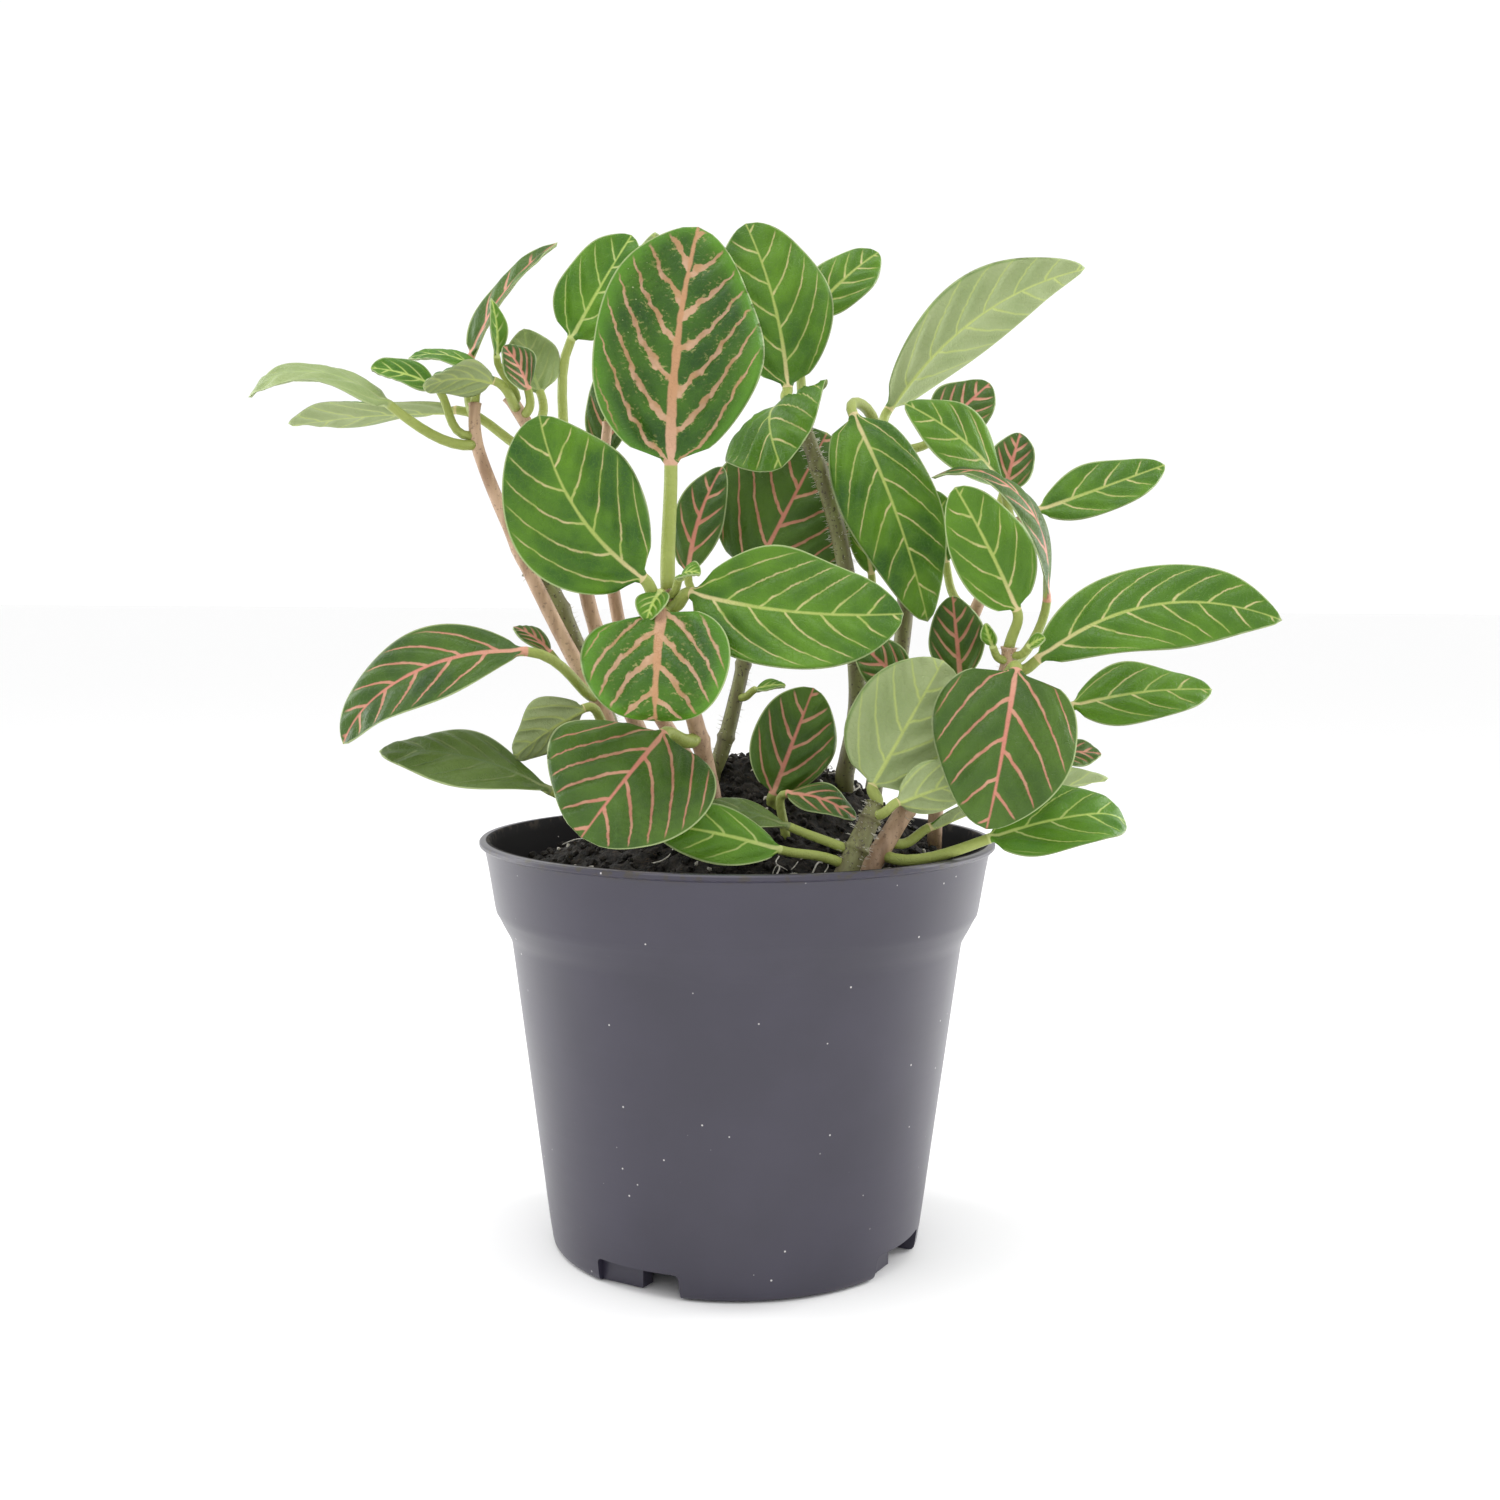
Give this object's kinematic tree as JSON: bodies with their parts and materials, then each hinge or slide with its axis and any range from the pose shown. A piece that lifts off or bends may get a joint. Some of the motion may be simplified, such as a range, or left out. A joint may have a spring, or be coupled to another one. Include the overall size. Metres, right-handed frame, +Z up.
{
  "type": "potted nerve plant",
  "caption": "Upright nerve plant with broad oval leaves, pink and cream veins, on thin stems rooted in a peat mound in a tapered nursery pot.",
  "frame": {"origin": "on the plane the pot stands on, under the middle of the whole plant; the pot axis is 3 mm towards -X from it", "axes": "+Z up along the pot axis; -Y is the front of the plant, where the crown of four crossed leaves faces; +X to its right as seen from the front"},
  "size_m": [0.2282, 0.12, 0.24],
  "materials": {
    "pot_plastic": "violet-grey satin moulded plastic",
    "soil_peat": "damp near-black peat with brown fibres",
    "stem_tan": "tan-pink smooth stem",
    "stem_olive": "olive hairy stem",
    "leaf_cream_vein": "green leaf with cream veins, soft sheen",
    "leaf_pink_vein": "dark green leaf with pink veins, soft sheen",
    "leaf_young": "bright young green leaf"
  },
  "bodies": {
    "root": {"leaf_back_dark": "leaf_pink_vein", "leaf_back_tip": "leaf_cream_vein", "leaf_big_pale": "leaf_cream_vein", "leaf_crown_left": "leaf_cream_vein", "leaf_crown_low": "leaf_pink_vein", "leaf_crown_right": "leaf_cream_vein", "leaf_crown_up": "leaf_pink_vein", "leaf_drooping": "leaf_cream_vein", "leaf_folded": "leaf_young", "leaf_folded_dark": "leaf_pink_vein", "leaf_front_low": "leaf_cream_vein", "leaf_front_pale": "leaf_cream_vein", "leaf_heart": "leaf_pink_vein", "leaf_inner_pink": "leaf_pink_vein", "leaf_left_blade": "leaf_pink_vein", "leaf_left_bright": "leaf_young", "leaf_left_cup": "leaf_young", "leaf_left_long": "leaf_pink_vein", "leaf_left_low": "leaf_pink_vein", "leaf_left_pale": "leaf_cream_vein", "leaf_left_pink": "leaf_pink_vein", "leaf_left_sliver": "leaf_young", "leaf_left_striped": "leaf_cream_vein", "leaf_left_upright": "leaf_young", "leaf_lit": "leaf_young", "leaf_low_dark": "leaf_pink_vein", "leaf_low_pink": "leaf_pink_vein", "leaf_node_up": "leaf_cream_vein", "leaf_over_rim": "leaf_young", "leaf_pale_left": "leaf_cream_vein", "leaf_reach_left": "leaf_cream_vein", "leaf_right_back": "leaf_pink_vein", "leaf_right_bright": "leaf_cream_vein", "leaf_right_cream": "leaf_cream_vein", "leaf_right_curled": "leaf_pink_vein", "leaf_right_dark": "leaf_cream_vein", "leaf_right_edge": "leaf_cream_vein", "leaf_right_long": "leaf_cream_vein", "leaf_right_mid": "leaf_cream_vein", "leaf_right_round": "leaf_pink_vein", "leaf_right_small": "leaf_pink_vein", "leaf_round": "leaf_pink_vein", "leaf_tall": "leaf_cream_vein", "leaf_tall_back": "leaf_cream_vein", "leaf_tall_front": "leaf_cream_vein", "leaf_wide_dark": "leaf_pink_vein", "leaf_wide_left": "leaf_pink_vein", "pot": "pot_plastic", "soil": "soil_peat", "stem_back_right": "stem_olive", "stem_behind": "stem_tan", "stem_crown": "stem_tan", "stem_cut": "stem_olive", "stem_far_left": "stem_tan", "stem_front": "stem_olive", "stem_left": "stem_tan", "stem_middle": "stem_olive", "stem_right": "stem_tan", "stem_side": "stem_tan", "stem_tall": "stem_olive"}
  },
  "joints": []
}
